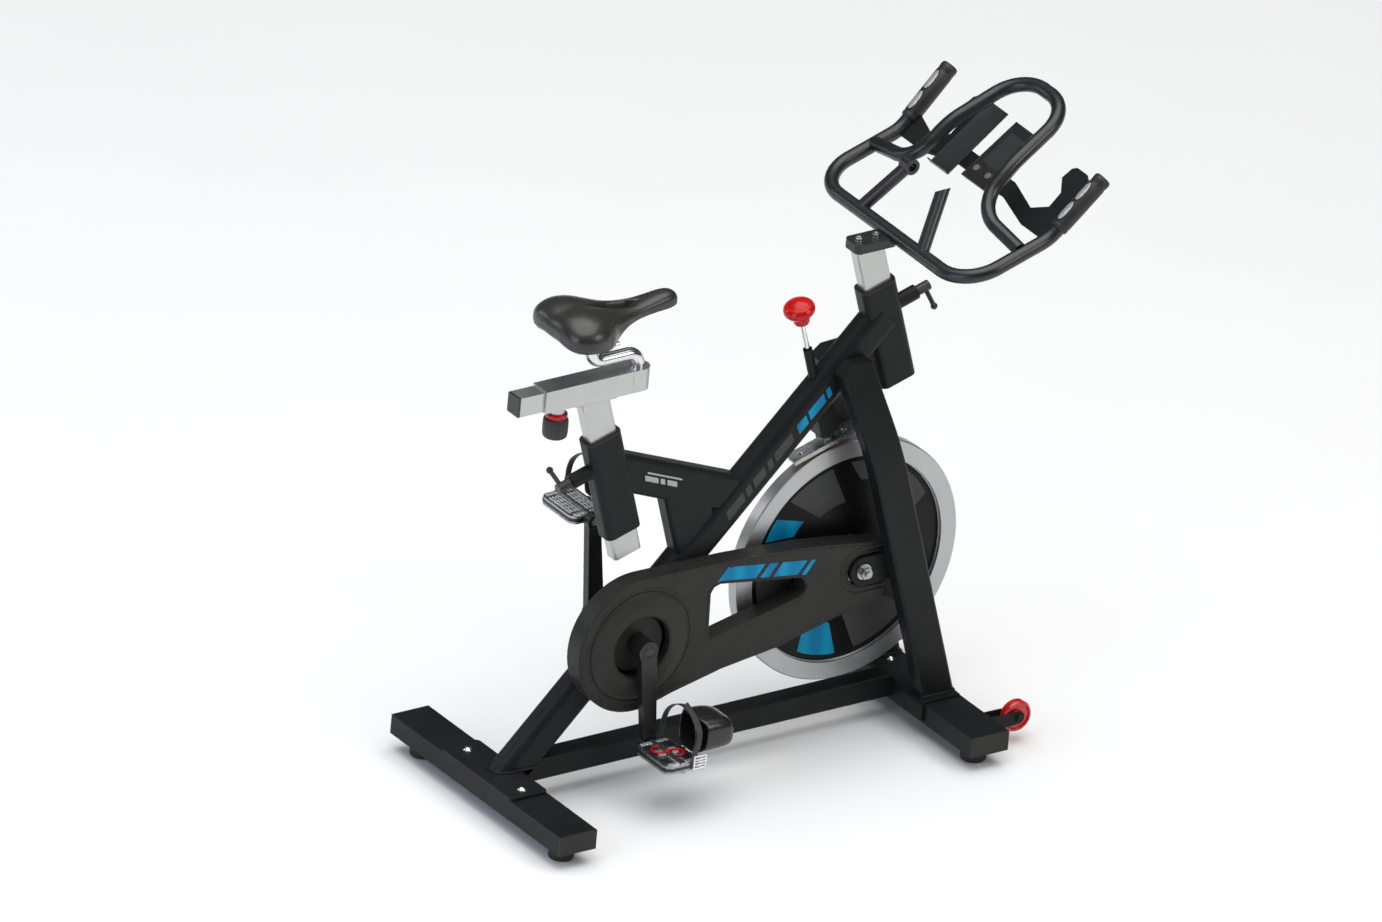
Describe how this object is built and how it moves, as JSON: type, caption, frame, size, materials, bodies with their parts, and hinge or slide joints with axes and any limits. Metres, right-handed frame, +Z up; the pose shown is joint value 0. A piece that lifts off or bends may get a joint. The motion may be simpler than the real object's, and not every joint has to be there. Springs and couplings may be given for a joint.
{
  "type": "indoor spin bike",
  "caption": "Belt-driven indoor spin bike with a leaning steel frame, exposed flywheel, sliding saddle, looped handlebar, push brake and transport wheels.",
  "frame": {"origin": "on the floor under the middle of the bike", "axes": "+X to the front of the bike, +Y to the rider's left, +Z up"},
  "size_m": [1.0651, 0.5, 1.1207],
  "materials": {
    "frame_paint": "satin black powder coat",
    "black_plastic": "matt black moulded plastic",
    "bright_steel": "bright plated steel",
    "machined_iron": "machined and plated rim round a black disc",
    "post_steel": "satin grey metallic",
    "steel_grey": "plain zinc-plated steel",
    "pedal_metal": "cast and polished",
    "belt_rubber": "plain black rubber",
    "strap": "black webbing with a coated face",
    "vinyl": "black vinyl with a soft sheen",
    "grip_foam": "black soft grip with bright plates",
    "tray_grey": "dark grey",
    "red_plastic": "glossy red"
  },
  "bodies": {
    "frame": {"rear_stabiliser": "frame_paint", "front_stabiliser": "frame_paint", "stabiliser_caps": "black_plastic", "rear_mount_plate": "frame_paint", "front_mount_bracket": "frame_paint", "mount_bolts": "bright_steel", "base_beam": "frame_paint", "main_tube": "frame_paint", "seat_sleeve": "frame_paint", "top_tube": "frame_paint", "head_sleeve": "frame_paint", "fork_leg_right": "frame_paint", "fork_leg_left": "frame_paint", "bottom_bracket": "frame_paint", "guard_inner": "black_plastic", "guard_outer": "black_plastic", "drive_belt": "belt_rubber", "flywheel_axle": "bright_steel", "brake_sleeve": "frame_paint", "post_bushes": "black_plastic", "wheel_brackets": "frame_paint"},
    "seat_post": {"seat_post": "post_steel"},
    "saddle": {"slider_beam": "post_steel", "saddle_stem": "bright_steel", "saddle": "vinyl"},
    "slider_knob": {"slider_knob": "black_plastic"},
    "seat_lever": {"seat_lever": "black_plastic"},
    "bar_lever": {"bar_lever": "black_plastic"},
    "handlebar": {"bar_post": "post_steel", "bar_clamp_plate": "frame_paint", "handlebar": "frame_paint", "aero_loop": "frame_paint", "grips": "grip_foam", "holder_bracket": "frame_paint", "side_tray": "tray_grey", "console": "black_plastic"},
    "button_left": {"button_left": "tray_grey"},
    "button_right": {"button_right": "tray_grey"},
    "brake_rod": {"brake_shoe": "bright_steel", "brake_spring": "bright_steel"},
    "brake_knob": {"brake_knob": "red_plastic"},
    "flywheel": {"flywheel": "machined_iron", "flywheel_hub": "bright_steel", "small_pulley": "steel_grey"},
    "crank": {"crank_axle": "steel_grey", "crank_arms": "frame_paint", "large_pulley": "steel_grey", "pedal_spindles": "steel_grey"},
    "pedal_right": {"pedal_right": "pedal_metal", "toe_cage_right": "black_plastic", "toe_strap_right": "strap"},
    "pedal_left": {"pedal_left": "pedal_metal", "toe_cage_left": "black_plastic", "toe_strap_left": "strap"},
    "foot_rear_right": {"foot_rear_right": "belt_rubber"},
    "foot_rear_left": {"foot_rear_left": "belt_rubber"},
    "foot_front_right": {"foot_front_right": "belt_rubber"},
    "foot_front_left": {"foot_front_left": "belt_rubber"},
    "wheel_right": {"wheel_right": "red_plastic"},
    "wheel_left": {"wheel_left": "red_plastic"}
  },
  "joints": [
    {"name": "seat_height", "type": "slide", "parent": "frame", "child": "seat_post", "axis": [-0.2924, 0, 0.9563], "range_m": [-0.04, 0.14]},
    {"name": "saddle_slide", "type": "slide", "parent": "seat_post", "child": "saddle", "axis": [1, 0, 0], "range_m": [0, 0.05]},
    {"name": "slider_knob_turn", "type": "hinge", "parent": "seat_post", "child": "slider_knob", "pos_m": [-0.43347, 0, 0.7], "axis": [0, 0, 1], "range_deg": [-120, 120]},
    {"name": "seat_lever_turn", "type": "hinge", "parent": "frame", "child": "seat_lever", "pos_m": [-0.32291, 0, 0.60215], "axis": [-0.9563, 0, -0.2924], "range_deg": [-90, 90]},
    {"name": "bar_height", "type": "slide", "parent": "frame", "child": "handlebar", "axis": [-0.2924, 0, 0.9563], "range_m": [-0.04, 0.12]},
    {"name": "bar_lever_turn", "type": "hinge", "parent": "frame", "child": "bar_lever", "pos_m": [0.21549, 0, 0.76675], "axis": [0.9563, 0, 0.2924], "range_deg": [-90, 90]},
    {"name": "button_left_press", "type": "slide", "parent": "handlebar", "child": "button_left", "axis": [0.6074, 0, -0.7944], "range_m": [0, 0.0012], "stiffness_N_per_m": 1200, "springref_m": -0.0003},
    {"name": "button_right_press", "type": "slide", "parent": "handlebar", "child": "button_right", "axis": [0.6074, 0, -0.7944], "range_m": [0, 0.0012], "stiffness_N_per_m": 1200, "springref_m": -0.0003},
    {"name": "brake_push", "type": "slide", "parent": "frame", "child": "brake_rod", "axis": [0.2924, 0, -0.9563], "range_m": [0, 0.006], "stiffness_N_per_m": 3000, "springref_m": -0.004},
    {"name": "brake_knob_turn", "type": "hinge", "parent": "brake_rod", "child": "brake_knob", "pos_m": [0.04863, 0, 0.80462], "axis": [-0.2924, 0, 0.9563], "range_deg": [-180, 180]},
    {"name": "flywheel_spin", "type": "hinge", "parent": "frame", "child": "flywheel", "pos_m": [0.18153, 0, 0.317], "axis": [0, 1, 0], "continuous": true},
    {"name": "crank_spin", "type": "hinge", "parent": "frame", "child": "crank", "pos_m": [-0.26247, 0, 0.2745], "axis": [0, 1, 0], "continuous": true},
    {"name": "pedal_right_spin", "type": "hinge", "parent": "crank", "child": "pedal_right", "pos_m": [-0.24418, -0.138, 0.10046], "axis": [0, 1, 0], "continuous": true},
    {"name": "pedal_left_spin", "type": "hinge", "parent": "crank", "child": "pedal_left", "pos_m": [-0.28077, 0.138, 0.44854], "axis": [0, 1, 0], "continuous": true},
    {"name": "foot_rear_right_screw", "type": "slide", "parent": "frame", "child": "foot_rear_right", "axis": [0, 0, -1], "range_m": [0, 0.01]},
    {"name": "foot_rear_left_screw", "type": "slide", "parent": "frame", "child": "foot_rear_left", "axis": [0, 0, -1], "range_m": [0, 0.01]},
    {"name": "foot_front_right_screw", "type": "slide", "parent": "frame", "child": "foot_front_right", "axis": [0, 0, -1], "range_m": [0, 0.01]},
    {"name": "foot_front_left_screw", "type": "slide", "parent": "frame", "child": "foot_front_left", "axis": [0, 0, -1], "range_m": [0, 0.01]},
    {"name": "wheel_right_spin", "type": "hinge", "parent": "frame", "child": "wheel_right", "pos_m": [0.43453, -0.178, 0.046], "axis": [0, 1, 0], "continuous": true},
    {"name": "wheel_left_spin", "type": "hinge", "parent": "frame", "child": "wheel_left", "pos_m": [0.43453, 0.178, 0.046], "axis": [0, 1, 0], "continuous": true}
  ],
  "couplings": [
    {"joint": "crank_spin", "follows": "flywheel_spin", "ratio": 0.28571}
  ]
}
